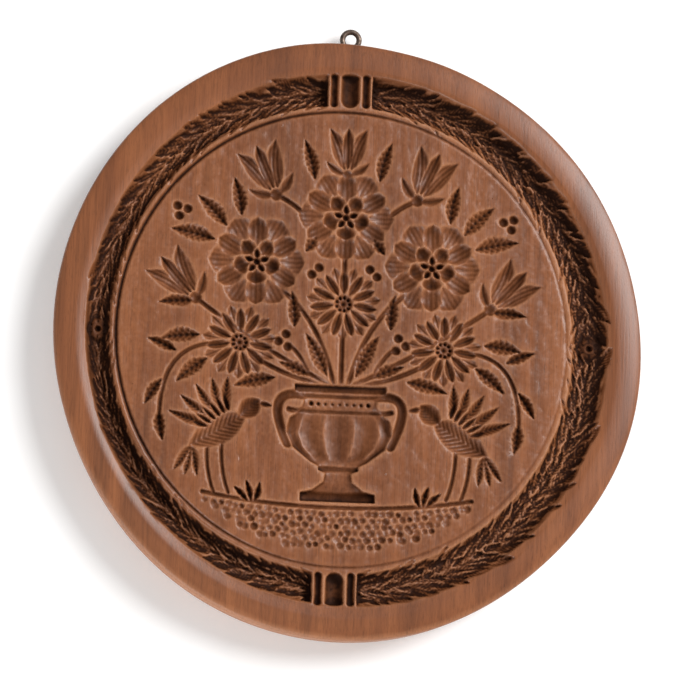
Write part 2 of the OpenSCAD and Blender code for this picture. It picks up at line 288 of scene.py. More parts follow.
berries = [(19, -4), (22.4, -2.2), (19.8, 0.4), (56, 43.5), (58.8, 41), (59.5, 44.5), (9, 24.5), (11.5, 22)]
berryR, berryDeep = 1.7, 2.0
stems = [((2.5, -17), (8, 6), (22, 16), 1.9, 1.5), ((6, -17), (22, -14), (30, -8), 1.9, 1.5),
         ((4, -17), (30, -4), (52, 12), 1.9, 1.5), ((8, 33), (12, 44), (25, 50), 1.9, 1.5),
         ((12, -12), (15, -6), (18, -4), 1.6, 1.2), ((46, -4), (63, -6), (63, -29), 1.6, 1.3),
         # the urn's handle and its scroll
         ((12, -21), (28, -18), (18, -38), 3.4, 2.2), ((12, -21), (11, -28), (18, -26), 2.0, 1.6),
         # the ground line
         ((0, -60), (26, -60), (47, -56), 1.7, 1.4)]
for side in (1, -1):
    for p, q, r, w, d in stems:
        stem((side * p[0], p[1]), (side * q[0], q[1]), (side * r[0], r[1]), w, d)
    for x, y, deg, l, w in leaves:
        cut(side * x, y, deg if side > 0 else 180 - deg, l, w, leafDeep, bow=leafBow * side, **leafStyle)
    for x, y in berries:
        dish(side * x, y, berryR, berryDeep)
    flower("rose", side * 31, 26)
    flower("daisy", side * 36, -3)
    tulip(side * 52, 12, 90 - 42 * side)
    tulip(side * 25, 50, 90 - 24 * side)
    bird(42, -34, side)
stem((0, -17), (0, -9), (0, 0), 1.8, 1.4)
stem((0, 22), (0, 25), (0, 30), 1.8, 1.4)
tulip(0, 58, 90, 0.9)
flower("rose", 0, 43)
flower("daisy", 0, 12)

# urn: rows of height and half width, and rolls of height and half thickness
urn = {
    "rows": ((-58, 13), (-55, 13), (-54, 9), (-51, 5), (-48, 4.5), (-47, 7), (-45.5, 7), (-44, 10),
             (-39, 16.5), (-34, 19), (-29, 17.5), (-25, 12.5), (-22, 11.5), (-19.5, 16), (-17, 16)),
    "rolls": ((-56.5, 1.6), (-46.3, 0.9), (-26.2, 0.7), (-20.8, 0.7), (-18.2, 1.3)),
    "reach": 64, "sunk": 1.3, "swell": 2.0, "fullW": 13, "leastSwell": 0.35, "rollHigh": 0.6,
    "bowl": (-44, 3, -26.5, 5), "lobes": 5.5, "lobeHigh": 1.1, "lobeSink": 0.5,
    "beads": 4, "beadPitch": 2.5, "beadY": -23.5, "beadR": 1.15, "beadDeep": 3.9,
}


# the urn's depth: a base plus a half round across it, as the square root of 1 - (distance / half width)^2,
# with lobes on its bowl as the size of a cosine of the angle round it, and a half round for each roll
def urnDepth(dx, dy):
    rows = np.array(urn["rows"])
    y = dy / board["draw"]
    wide = np.interp(y, rows[:, 0], rows[:, 1]) * board["draw"]
    inside = (np.abs(dx) < wide) & (y > rows[0, 0]) & (y < rows[-1, 0])
    ratio = np.clip(np.abs(dx) / wide, 0, 1)
    full = np.clip(wide / urn["fullW"], urn["leastSwell"], 1)
    out = urn["sunk"] + urn["swell"] * np.sqrt(1 - ratio ** 2) * full
    foot, footFade, top, topFade = urn["bowl"]
    bowl = np.clip((y - foot) / footFade, 0, 1) * np.clip((top - y) / topFade, 0, 1)
    lobes = np.abs(np.cos(urn["lobes"] * np.arcsin(ratio)))
    out = out + bowl * (urn["lobeHigh"] * lobes - urn["lobeSink"])
    for at, half in urn["rolls"]:
        out = out + urn["rollHigh"] * np.sqrt(np.clip(1 - ((y - at) / half) ** 2, 0, 1))
    return np.where(inside, out, 0)


press(0, 0, urn["reach"], urnDepth)
for i in range(-urn["beads"], urn["beads"] + 1):
    dish(urn["beadPitch"] * i, urn["beadY"], urn["beadR"], urn["beadDeep"])

# ground: small pebbles in staggered rows that bend up to the sides, under the ground line
pebbles = {"rows": 7, "each": 19, "pitch": 2.7, "stagger": 1.3, "top": -62.3, "rowPitch": 2.2, "bend": 0.0018,
           "shift": (0.4, 0.3), "within": 75, "r": (1.0, 1.6), "deep": (0.6, 1.4)}
for i in range(pebbles["rows"]):
    for j in range(-pebbles["each"], pebbles["each"] + 1):
        x = pebbles["pitch"] * j + pebbles["stagger"] * (i % 2) + rng.normal(0, pebbles["shift"][0])
        y = pebbles["top"] - pebbles["rowPitch"] * i + pebbles["bend"] * x * x
        y = y + rng.normal(0, pebbles["shift"][1])
        if x * x + y * y < pebbles["within"] ** 2:
            dish(x, y, rng.uniform(*pebbles["r"]), rng.uniform(*pebbles["deep"]))
print("carving: field drawn, deepest", round(float(depth.max()), 2))

# Flutes left by a flat gouge that was worked up and down the ground, as squared sines across a line that
# wavers. A waver has a height, a length, a slant and a phase.
gouge = {"deep": 0.06, "pitch": 3.3, "onFlat": 0.35, "clear": 1.0, "fade": 1.0,
         "wavers": ((0.7, 9, 0.2, 0), (0.5, 23, 0, 1))}
angle = np.arctan2(gridY, gridX)
off = np.hypot(gridX, gridY) - ovalRadius(angle)
weave = gridX
for high, long, slant, phase in gouge["wavers"]:
    weave = weave + high * np.sin(gridY / long + slant * gridX + phase)
flat = np.clip(1 - depth / gouge["onFlat"], 0, 1)
flat = flat * np.clip((-off - board["ringIn"] - gouge["clear"]) / gouge["fade"], 0, 1)
depth = depth + flat * gouge["deep"] * np.sin(np.pi * weave / gouge["pitch"]) ** 2

# Wreath: a channel filled with rows of leaves that run from the bands to the sides. A row has the place
# across of its bases, a lean, a length, a width, a share of the pitch, a phase, and the depth that its
# leaves cut on their own.
wreath = {
    "rows": [
        (1.2, 24, 10.4, 4.6, 1.0, 0.0, 1.9), (0.9, 24, 9.6, 3.8, 1.0, 0.5, 0.0),
        (2.4, 27, 5.6, 2.4, 0.5, 0.3, 1.1), (2.0, 22, 4.6, 2.0, 0.45, 0.8, 0.0),
        (0.7, 13, 5.0, 2.2, 0.5, 0.2, 0.0), (-0.1, -4, 5.6, 2.4, 0.5, 0.7, 0.0),
        (-0.9, -13, 6.2, 2.4, 0.5, 0.1, 0.0), (-1.9, -17, 6.4, 2.2, 0.5, 0.6, 0.0),
        (-2.9, -18, 6.2, 2.0, 0.5, 0.25, 0.3), (-3.8, -17, 5.2, 1.7, 0.5, 0.8, 0.5),
    ],
    "leaves": 16, "wallIn": 0.2, "wallPower": 2.6, "floorPower": 0.65, "floorRise": 0.35,
    "pull": 2.2, "pullMost": 1.6, "pullAt": -0.87, "upperTips": 0.9, "upperAt": 2.4,
    "slip": 1.2, "sway": 0.4, "largeW": 3, "twist": (0.26, 0.14), "vary": (0.25, 0.12), "swell": 2.6,
    "rise": (0.2, 0.8), "round": 0.5, "midrib": (0.25, 0.25), "vein": (0.16, 1.2, 1.3), "ownRound": 0.4,
    "high": 0.4, "ownFade": 3, "floorFade": 0.8, "within": 1.4,
}
half = board["wreathW"] / 2
outer = -board["rimW"] + lipShift("lipOut", angle)
inner = -board["rimW"] - board["wreathW"] + lipShift("lipIn", angle)
lane = (2 * off - outer - inner) / (outer - inner)  # from -1 at the inner lip to 1 at the outer one
perDegree = (board["meanR"] - board["rimW"] - half) * math.pi / 180
pitch = 90 / wreath["leaves"] * perDegree
ringPart = np.abs(lane) < wreath["within"]
ringAngle = angle[ringPart]
acrossRing = lane[ringPart] * half
alongRing = np.abs(np.mod(np.degrees(ringAngle), 180) - 90) * perDegree  # from the nearer band
quarter = (np.degrees(ringAngle) // 90).astype(int) % 4
narrow = np.where(acrossRing > 0, half - wreath["wallIn"], half)
trough = np.clip(1 - (np.abs(acrossRing) / narrow) ** wreath["wallPower"], 0, 1) ** wreath["floorPower"]
trough = board["trough"] * trough
filled = np.maximum(trough - wreath["floorRise"], 0)
# the leaf tips stand out most at the lower right, and a little at the upper left
pull = np.minimum(wreath["pull"] * (1 - np.cos(ringAngle - wreath["pullAt"])), wreath["pullMost"])
pull = pull - wreath["upperTips"] * np.clip(np.cos(ringAngle - wreath["upperAt"]), 0, 1) ** 3

# A leaf's width goes as the root of t times (1 - t), with t from 0 to 1 along it. It sinks below the
# channel by a part that grows along it and is rounded across it, with a midrib and slanting veins.
jitter = rng.uniform(-1, 1, (len(wreath["rows"]), 4, 64))
for row, (start, lean, l, w, share, phase, own) in enumerate(wreath["rows"]):
    c, s = math.cos(math.radians(lean)), math.sin(math.radians(lean))
    tip = own > 1
    twist, vary = wreath["twist"][w > wreath["largeW"]], wreath["vary"][tip]
    for back in range(4):
        number = np.floor(alongRing / (pitch * share) - phase) - back
        wob = jitter[row, quarter, np.clip(number, 0, 63).astype(int)]
        dx = alongRing - (number + phase) * pitch * share + wreath["slip"] * wob * share ** 0.5
        dy = acrossRing - start - wreath["sway"] * wob - twist * wob * dx + (pull if tip else 0)
        along, across = dx * c + dy * s, dy * c - dx * s
        t = np.clip(along / (l * (1 + vary * np.cos(7 * wob))), 0, 1)
        f = wreath["swell"] * np.sqrt(t) * (1 - t)
        ratio = np.abs(across) / (w / 2) / np.maximum(f, 1e-3)
        rise = wreath["rise"][0] + wreath["rise"][1] * t
        rise = rise * (1 - wreath["round"] * np.minimum(ratio, 1) ** 2)
        rise = rise + wreath["midrib"][0] * np.exp(-(across / wreath["midrib"][1]) ** 2)
        high, slant, spacing = wreath["vein"]
        rise = rise - high * np.cos(2 * np.pi * (along - slant * np.abs(across)) / spacing)
        bed = np.maximum(trough, own * f * (1 - wreath["ownRound"] * ratio ** 2))
        fade = np.clip(wreath["ownFade"] * f if own > 0 else trough / wreath["floorFade"], 0, 1)
        leaf = bed + (1 + wreath["high"] * wob) * rise * fade
        filled = np.maximum(filled, np.where((ratio < 1) & (number >= (own > 0)), leaf, 0))

# hatching of fine strokes over the leaves, along their lean: random heights on a grid that runs with the
# strokes, blended between its four nearest points
hatch = {"slant": math.radians(20), "long": 2.2, "wide": 0.42, "deep": 0.24, "fade": 1.2,
         "grid": (8, 80, 260), "first": (2, 220)}
strokeU = alongRing * math.cos(hatch["slant"]) + np.abs(acrossRing) * math.sin(hatch["slant"])
strokeV = np.abs(acrossRing) * math.cos(hatch["slant"]) - alongRing * math.sin(hatch["slant"])
heights = rng.normal(0, 1, hatch["grid"])
u, v = strokeU / hatch["long"] + hatch["first"][0], strokeV / hatch["wide"] + hatch["first"][1]
i, j = u.astype(int), v.astype(int)
a, b = u - i, v - j
layer = quarter * 2 + (acrossRing > 0)
stroke = ((heights[layer, i, j] * (1 - a) + heights[layer, i + 1, j] * a) * (1 - b)
          + (heights[layer, i, j + 1] * (1 - a) + heights[layer, i + 1, j + 1] * a) * b)
filled = filled + hatch["deep"] * stroke * np.clip(filled / hatch["fade"], 0, 1)
depth[ringPart] = np.maximum(depth[ringPart], filled)


# distance of the wreath's middle from the carving's centre at an angle
def wreathMiddle(a):
    shift = (float(lipShift("lipOut", a)) + float(lipShift("lipIn", a))) / 2
    return float(ovalRadius(a)) - board["rimW"] - half + shift


# rosettes where the sprays meet, sunk to the floor of the wreath: six petals about a pit
rosette = {"reach": 6, "r": 4.2, "fade": 1.3, "sunk": 3.5, "dome": 0.12,
           "petals": (6, 1.2, 3.0, 2.0, 4.6), "pit": (1.6, 5.6)}
onRosette = np.zeros_like(depth)
for side in (0, math.pi):
    x = wreathMiddle(side) * math.cos(side)
    part = window(x, 0, rosette["reach"])
    away = np.hypot(gridX[part] - x, gridY[part])
    here = np.clip((rosette["r"] - away) / rosette["fade"], 0, 1)
    onRosette[part] = here
    depth[part] = depth[part] * (1 - here) + here * (rosette["sunk"] + rosette["dome"] * away)
    petals(x / board["draw"], 0, *rosette["petals"], blunt=0.3)
    dish(x / board["draw"], 0, *rosette["pit"])

# ribbon bands: three flutes across the wreath at the top and the foot, half round, with a round inner end
# and a short outer one
band = {"wide": 6.6, "narrow": 2.9, "ridge": 1.0, "wideDeep": 3.4, "narrowDeep": 2.3, "fade": 0.5, "plain": 8,
        "innerEnd": 0.4, "outerEnd": 1.4, "endLong": 1.1, "reach": 10}
bandW = band["wide"] + 2 * band["narrow"] + 4 * band["ridge"]
step = (band["wide"] + band["narrow"]) / 2 + band["ridge"]
flutes = [(0, band["wide"], band["wideDeep"])]
flutes += [(place, band["narrow"], band["narrowDeep"]) for place in (-step, step)]
for side in (1, -1):
    a = side * math.pi / 2
    r = wreathMiddle(a)
    part = window(0, side * r, band["reach"])
    x, y = gridX[part], side * gridY[part] - r
    plain = np.clip((bandW / 2 - np.abs(x)) / band["fade"], 0, 1)
    depth[part] = np.where(np.abs(y) < band["plain"], depth[part] * (1 - plain), depth[part])
    reach = half + (float(lipShift("lipOut", a)) - float(lipShift("lipIn", a))) / 2
    for place, w, d in flutes:
        low = np.maximum(-y - (reach + band["innerEnd"] - w / 2), 0)
        high = np.maximum(y - (reach - band["outerEnd"]), 0) * w / 2 / band["endLong"]
        flute = d * np.sqrt(np.clip(1 - (np.hypot(x - place, low + high) / (w / 2)) ** 2, 0, 1))
        np.maximum(depth[part], flute, out=depth[part])

# ring line inside the wreath: a V cut that is wider and deeper at the left
toLine = np.abs(off + board["ringIn"] - lipShift("lipIn", angle))
ringSide = np.cos(angle - board["ringAt"])
ringHalf = board["ringW"][0] + board["ringW"][1] * ringSide
ringCut = (board["ringD"][0] + board["ringD"][1] * ringSide) * np.clip(1 - toLine / ringHalf, 0, 1)
np.maximum(depth, ringCut, out=depth)


# mean over a square of the given half-size, by running sums
def blur(values, size):
    k = max(1, int(round(size / cell)))
    for axis in (0, 1):
        pad = np.pad(values, [(k + 1, k) if a == axis else (0, 0) for a in (0, 1)], mode="edge")
        total = np.cumsum(pad, axis=axis)
        n = values.shape[axis]
        high = np.take(total, np.arange(n) + 2 * k + 1, axis=axis)
        low = np.take(total, np.arange(n), axis=axis)
        values = (high - low) / (2 * k + 1)
    return values


depth = blur(depth, cell)
# flat scrapes left by the carver's tools, across the ground and in the cuts: random heights, blurred
scrapes = {"broad": (1.4, 1.0), "broadDeep": 0.06, "fine": 0.45, "fineDeep": 0.035,
           "endLane": 1.1, "fade": 0.3}
scrape = rng.normal(0, 1, depth.shape)
for size in scrapes["broad"]:
    scrape = blur(scrape, size)
fine = blur(rng.normal(0, 1, depth.shape), scrapes["fine"])
inCarving = np.clip((scrapes["endLane"] - lane) / scrapes["fade"], 0, 1)
marks = scrapes["broadDeep"] * scrape / scrape.std() + scrapes["fineDeep"] * fine / fine.std()
depth = depth + inCarving * marks
print("carving: wreath, bands and ring line drawn")

# Wax gathers in the cuts and is rubbed off the ridges between them, and with it shade is painted into the
# cuts and highlights are painted onto the ridges. Both come from how far a point lies below the mean of a
# near, a mid and a far square about it. In the wreath both are strongest at the lower right.
wearAndShading = {
    "near": 0.8, "mid": 1.6, "far": 3.0, "sharp": 0.5, "sharpAt": -0.9,
    "waxShadeDepth": 0.07, "waxShadeNear": 0.85, "waxShadeNearWreath": 0.35, "waxShadeMid": 0.5, "waxShadeFar": 0.30,
    "waxRing": 0.3, "ringSide": (1.3, 0.7),
    "wreathDepth": 0.045, "wreathLess": 0.07, "topLess": 0.05, "topAt": 1.9,
    "slope": 0.25, "middle": 0.24, "lightAt": 0.6, "middleLane": -0.05, "middleW": 0.4,
    "rosette": (0.6, 0.1), "wall": 0.62, "wallDepth": 0.9, "wallAt": 0.2, "wallPower": 6,
    "wornHighlightNear": 1.05, "wornHighlightMid": 0.5, "wornHighlightFar": 0.22, "outerLip": 0.85, "innerLip": 0.4, "innerLipLitAt": 0.4,
    "rosetteLessPale": 0.9, "bandLessPale": 0.4, "mostWaxShade": 0.95, "mostWornHighlight": 0.6,
    # where a part starts across the wreath, and over how much it fades in
    "wreathFade": (1.05, 0.2), "innerLipFade": (0.8, 0.2), "outerLipFade": (0.7, 0.3),
    "wallFade": (0.55, 0.2), "slopeLane": (2, 0.5), "lineClear": 1.5, "lineBeyond": 2,
}


# how far a place across the wreath lies past a start, from 0 to 1 over the fade
def past(place, name):
    start, fade = wearAndShading[name]
    return np.clip((place - start) / fade, 0, 1)


near, mid, far = (depth - blur(depth, wearAndShading[name]) for name in ("near", "mid", "far"))
start, fade = wearAndShading["wreathFade"]
inWreath = np.clip((start - np.abs(lane)) / fade, 0, 1)
sharp = inWreath * (1 + wearAndShading["sharp"] * np.cos(angle - wearAndShading["sharpAt"]))
# the darkening here is dark wax and painted shade: it grows with depth and with how far a point lies below
# the means about it
waxAndShade = wearAndShading["waxShadeDepth"] * depth + (wearAndShading["waxShadeNear"] + wearAndShading["waxShadeNearWreath"] * sharp) * near
waxAndShade = waxAndShade + wearAndShading["waxShadeMid"] * sharp * mid + wearAndShading["waxShadeFar"] * far
waxAndShade = waxAndShade + wearAndShading["waxRing"] * ringCut * (wearAndShading["ringSide"][0] + wearAndShading["ringSide"][1] * ringSide)
# in the wreath the darkening grows low down, as wax and painted shade; on the outer half at the upper right
# it is a painted shadow cast by the rim from the key lamp, on the inner half across from it a painted shade
# where the wall faces away from that lamp, and along the middle at the upper right a painted shade
litSide = np.cos(angle - wearAndShading["lightAt"])
channelWaxAndShade = wearAndShading["wreathDepth"] * depth - wearAndShading["wreathLess"] - wearAndShading["topLess"] * np.cos(angle - wearAndShading["topAt"])
channelWaxAndShade = channelWaxAndShade + wearAndShading["slope"] * np.tanh(wearAndShading["slopeLane"][0] * lane + wearAndShading["slopeLane"][1]) * litSide
midLine = np.exp(-((lane - wearAndShading["middleLane"]) / wearAndShading["middleW"]) ** 2)
channelWaxAndShade = channelWaxAndShade + wearAndShading["middle"] * np.clip(litSide, 0, 1) * midLine
waxAndShade = waxAndShade + inWreath * channelWaxAndShade
# the paleness here is wear and painted highlight: it grows with how far a point stands above the means about
# it
wearAndHighlight = -wearAndShading["wornHighlightNear"] * near - wearAndShading["wornHighlightMid"] * sharp * mid - wearAndShading["wornHighlightFar"] * far * (1 - inWreath)
# the wreath's outer lip gets little of the paleness; its inner lip keeps it on the right and loses most of it
# on the left, a painted shade where that lip faces away from the key lamp
atLip = 2 * (off > inner - wearAndShading["lineBeyond"])
onLip = past(-lane, "innerLipFade") * np.clip(wearAndShading["lineClear"] - toLine + atLip, 0, 1)
wearAndHighlight = wearAndHighlight * (1 - wearAndShading["outerLip"] * past(lane, "outerLipFade"))
wearAndHighlight = wearAndHighlight * (1 - onLip * wearAndShading["innerLip"] * (1 - np.cos(angle - wearAndShading["innerLipLitAt"])))
# the rosettes are dark all over, and the ridges of the bands get little of the paleness
onBand = inWreath * np.clip((bandW / 2 + band["fade"] - np.abs(gridX)) / band["fade"], 0, 1)
waxAndShade = waxAndShade + (wearAndShading["rosette"][0] + wearAndShading["rosette"][1] * np.cos(angle)) * onRosette
wearAndHighlight = wearAndHighlight * (1 - wearAndShading["rosetteLessPale"] * onRosette) * (1 - wearAndShading["bandLessPale"] * onBand)
# on the left the channel's outer wall is dark right up to its lip
onWall = inWreath * past(lane, "wallFade") * np.clip(depth / wearAndShading["wallDepth"], 0, 1)
onWall = onWall * (0.5 - 0.5 * np.cos(angle - wearAndShading["wallAt"])) ** wearAndShading["wallPower"]
waxAndShade = np.maximum(waxAndShade, wearAndShading["wall"] * onWall)
print("carving: wax and wear worked out")


# value of a grid at places, blended between the four nearest points
def sample(values, x, y):
    u = np.clip((x + reachR) / cell, 0, len(line) - 1.001)
    v = np.clip((y + reachR) / cell, 0, len(line) - 1.001)
    i, j = u.astype(int), v.astype(int)
    a, b = u - i, v - j
    low = values[j, i] * (1 - a) + values[j, i + 1] * a
    high = values[j + 1, i] * (1 - a) + values[j + 1, i + 1] * a
    return low * (1 - b) + high * b


# smooth-shaded mesh from arrays of points, four-sided faces and triangles
def meshFrom(name, points, quads, tris):
    mesh = bpy.data.meshes.new(name)
    corners = np.concatenate([quads.ravel(), tris.ravel()]).astype(np.int32)
    starts = np.concatenate([np.arange(len(quads)) * 4, len(quads) * 4 + np.arange(len(tris)) * 3])
    mesh.vertices.add(len(points))
    mesh.vertices.foreach_set("co", points.astype(np.float32).ravel())
    mesh.loops.add(len(corners))
    mesh.loops.foreach_set("vertex_index", corners)
    mesh.polygons.add(len(starts))
    mesh.polygons.foreach_set("loop_start", starts.astype(np.int32))
    mesh.update(calc_edges=True)
    mesh.validate()
    mesh.polygons.foreach_set("use_smooth", np.ones(len(starts), dtype=bool))
    return mesh


# faces between rows of n points that each go once round
def ringFaces(first, rows, n):
    i, j = np.meshgrid(np.arange(rows - 1), np.arange(n), indexing="ij")
    a = first + i * n + j
    b = first + i * n + (j + 1) % n
    return np.stack([a, b, b + n, a + n], axis=-1).reshape(-1, 4)


# rows of points: shares of the radius on the back, heights on the wall, the edge's sweep, and steps across
# the top
boardRows = {"back": (0.05, 0.3, 0.6, 0.85), "wall": (4, 7, 10, 13), "sweep": 74, "sweepRows": 8,
             "rim": (-1.5, -8.9, -0.5), "wreathFrom": -9.0, "wreathStep": -0.25, "passOver": 12.5}


# Board mesh: rows round the back, wall, rim and wreath, then a square grid bent to fill the round field. A
# point of the square at u, v goes to the radius of the greater of the two and to an angle that is 45
# degrees times the lesser over the greater. The height is the rim's or the field's, less the depth of the
# carving.
def boardMesh():
    n = board["cells"]
    around = 4 * n
    turn = -math.pi / 4 + np.arange(around) * 2 * math.pi / around
    ca, sa = np.cos(turn), np.sin(turn)
    edge, oval = edgeRadius(turn), ovalRadius(turn)
    carveX, carveY = board["carveX"], board["carveY"]
    rows = [np.stack([edge * k * ca, edge * k * sa, np.zeros(around)], -1) for k in boardRows["back"]]
    c = board["chamfer"]
    sweep = np.radians(np.linspace(0, boardRows["sweep"], boardRows["sweepRows"]))
    soft = swung("edgeRound", turn)
    foot = rimTop(soft * (math.cos(sweep[-1]) - 1), turn) - soft * math.sin(sweep[-1])
    wall = [(-c, 0), (-0.35 * c, 0.25 * c), (0, c)] + [(0, z) for z in boardRows["wall"]]
    wall += [(soft * (math.cos(a) - 1), foot + soft * math.sin(a)) for a in sweep]
    for o, z in wall:
        rows.append(np.stack([(edge + o) * ca, (edge + o) * sa, z + np.zeros(around)], -1))
    # the rows pass over from the edge's own line to the oval about the carving's centre
    start = boardRows["wreathFrom"]
    toField = np.arange(start, -board["fieldIn"] + 0.1, boardRows["wreathStep"])
    for o in np.concatenate([np.arange(*boardRows["rim"]), toField]):
        m = np.clip((start - o) / boardRows["passOver"], 0, 1)
        x = (1 - m) * (edge + o) * ca + m * (carveX + (oval + o) * ca)
        y = (1 - m) * (edge + o) * sa + m * (carveY + (oval + o) * sa)
        rows.append(np.stack([x, y, rimTop(o, turn) - sample(depth, x - carveX, y - carveY)], -1))
    rings = np.concatenate(rows)
    span = np.linspace(-1, 1, n + 1)
    gx, gy = np.meshgrid(span, span)
    wide = np.abs(gx) >= np.abs(gy)
    with np.errstate(divide="ignore", invalid="ignore"):
        spin = np.where(wide, math.pi / 4 * gy / gx + math.pi * (gx < 0),
                        math.pi / 2 - math.pi / 4 * gx / gy + math.pi * (gy < 0))
    spin = np.nan_to_num(spin)
    r = np.maximum(np.abs(gx), np.abs(gy)) * (ovalRadius(spin) - board["fieldIn"])
    x, y = carveX + r * np.cos(spin), carveY + r * np.sin(spin)
    field = np.stack([x, y, fieldZ - sample(depth, x - carveX, y - carveY)], -1).reshape(-1, 3)
    first = len(rings)
    i, j = np.meshgrid(np.arange(n), np.arange(n), indexing="ij")
    a = first + i * (n + 1) + j
    fieldQuads = np.stack([a, a + 1, a + n + 2, a + n + 1], -1).reshape(-1, 4)
    k = np.arange(n)
    border = first + np.concatenate([k * (n + 1) + n, n * (n + 1) + n - k, (n - k) * (n + 1), k])
    last = first - around + np.arange(around)
    seam = np.stack([last, np.roll(last, -1), np.roll(border, -1), border], -1)
    centre = first + len(field)
    points = np.concatenate([rings, field, [[0, 0, 0]]]) * 0.001
    fan = np.stack([np.full(around, centre), (np.arange(around) + 1) % around, np.arange(around)], -1)
    quads = np.concatenate([ringFaces(0, len(rows), around), fieldQuads, seam])
    return meshFrom("blank", points, quads, fan)


# tube along a path that lies in the plane of the face: each ring of points goes round the path's direction
# at one radius per point and side, and both ends are closed by a fan
def tube(name, path, radii):
    n, sides = radii.shape
    step = np.gradient(path, axis=0)
    step /= np.linalg.norm(step, axis=1)[:, None]
    out = np.stack([step[:, 1], -step[:, 0], np.zeros(n)], -1)
    a = np.arange(sides) * 2 * math.pi / sides
    ring = path[:, None] + radii[..., None] * (np.cos(a)[None, :, None] * out[:, None] +
                                               np.sin(a)[None, :, None] * np.array([0, 0, 1.0]))
    points = np.concatenate([ring.reshape(-1, 3), path[:1], path[-1:]]) * 0.001
    k = np.arange(sides)
    start = np.stack([np.full(sides, n * sides), (k + 1) % sides, k], -1)
    last = (n - 1) * sides
    end = np.stack([np.full(sides, n * sides + 1), last + k, last + (k + 1) % sides], -1)
    return meshFrom(name, points, ringFaces(0, n, sides), np.concatenate([start, end]))


# puts a mesh in the scene as a piece that rides a body, stands for a node and fills a material slot
def piece(name, mesh, body, node, material):
    obj = bpy.data.objects.new(name, mesh)
    scene.collection.objects.link(obj)
    mesh.materials.append(material)
    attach(obj, body)
    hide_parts(node)


# sRGB hex to linear: c / 12.92 up to 0.04045, else ((c + 0.055) / 1.055) ^ 2.4
def colour(code):
    c = [int(code[i:i + 2], 16) / 255 for i in (0, 2, 4)]
    return [v / 12.92 if v <= 0.04045 else ((v + 0.055) / 1.055) ** 2.4 for v in c] + [1.0]


# an empty material, with its node tree and its shader
def material(name):
    mat = bpy.data.materials.new(name)
    mat.use_nodes = True
    tree = mat.node_tree
    return mat, tree, tree.nodes["Principled BSDF"]


# adds a node and gives one of its outputs. An input is a plain value or another node's output, and stops
# are the places of a colour ramp with their hex colours or grey levels.
def add(tree, kind, inputs=None, stops=(), out=0, **settings):
    node = tree.nodes.new(kind)
    for key, value in settings.items():
        setattr(node, key, value)
    for key, value in (inputs or {}).items():
        if isinstance(value, bpy.types.NodeSocket):
            tree.links.new(value, node.inputs[key])
        else:
            node.inputs[key].default_value = value
    items = node.color_ramp.elements if stops else ()
    while len(items) < len(stops):
        items.new(0.5)
    for item, (at, value) in zip(items, stops):
        item.position = at
        item.color = colour(value) if isinstance(value, str) else (value, value, value, 1)
    return node.outputs[out]


# noise on object coordinates, which are metres, so a grain size in millimetres scales them by 1000 over
# that size
def grain(tree, sizes, detail, rough=0.55, warp=0.0):
    place = add(tree, "ShaderNodeTexCoord", out="Object")
    scaled = add(tree, "ShaderNodeMapping", {"Vector": place, "Scale": [1000 / s for s in sizes]})
    settings = {"Vector": scaled, "Scale": 1.0, "Detail": detail, "Roughness": rough, "Distortion": warp}
    return add(tree, "ShaderNodeTexNoise", settings, out="Fac")


# oiled pearwood, planed and carved: fine fibres along the board and broad growth bands, satin where it is
# rubbed, dull and nearly black where wax has gathered and where shade is painted into the cuts, paler on worn
# edges and where highlights are painted on ridges and at the lower left. The real fibres and pores are finer,
# and are drawn as coarse as they need to be to show.
def pearwood():
    mat, tree, shader = material("oiledPearwood")
    bands = grain(tree, (9, 160, 9), 3, warp=0.6)
    fibres = grain(tree, (0.55, 22, 0.55), 4, rough=0.6)
    pores = grain(tree, (0.28, 3.2, 0.28), 2)
    waxAndShade = add(tree, "ShaderNodeAttribute", out="Fac", attribute_name="waxAndShade")
    wearAndHighlight = add(tree, "ShaderNodeAttribute", out="Fac", attribute_name="wearAndHighlight")
    # a colour mix has its share and its two colours at inputs 0, 6 and 7, and the colour at output 2
    tone = {"out": 2, "data_type": "RGBA"}
    browns = [(0.3, "693c22"), (0.5, "7b4728"), (0.72, "8b5330")]
    base = add(tree, "ShaderNodeValToRGB", {"Fac": bands}, browns)
    # the pale colour of wear and of the painted highlights
    base = add(tree, "ShaderNodeMix", {0: wearAndHighlight, 6: base, 7: colour("b27a54")}, **tone)
    streak = add(tree, "ShaderNodeValToRGB", {"Fac": fibres}, [(0.3, 0.73), (0.5, 1.0), (0.72, 1.15)])
    base = add(tree, "ShaderNodeMix", {0: 0.85, 6: base, 7: streak}, blend_type="MULTIPLY", **tone)
    dots = add(tree, "ShaderNodeValToRGB", {"Fac": pores}, [(0.30, 0.58), (0.42, 1.0)])
    base = add(tree, "ShaderNodeMix", {0: 0.55, 6: base, 7: dots}, blend_type="MULTIPLY", **tone)
    # the nearly black colour of wax and of the painted shade
    base = add(tree, "ShaderNodeMix", {0: waxAndShade, 6: base, 7: colour("1e0d07")}, **tone)
    tree.links.new(base, shader.inputs["Base Color"])
    dull = colour("dcdcdc")
    satin = add(tree, "ShaderNodeValToRGB", {"Fac": fibres}, [(0.2, 0.35), (0.8, 0.39)])
    satin = add(tree, "ShaderNodeMix", {0: wearAndHighlight, 6: satin, 7: dull}, **tone)
    satin = add(tree, "ShaderNodeMix", {0: waxAndShade, 6: satin, 7: dull}, **tone)
    tree.links.new(satin, shader.inputs["Roughness"])
    gloss = add(tree, "ShaderNodeValToRGB", {"Fac": waxAndShade}, [(0.0, 0.44), (0.5, 0.08)])
    tree.links.new(gloss, shader.inputs["Specular IOR Level"])
    bump = add(tree, "ShaderNodeBump", {"Height": fibres, "Strength": 0.3, "Distance": 0.00012})
    pitted = {"Height": pores, "Normal": bump, "Strength": 0.25, "Distance": 0.00008}
    bump = add(tree, "ShaderNodeBump", pitted)
    tree.links.new(bump, shader.inputs["Normal"])
    return mat


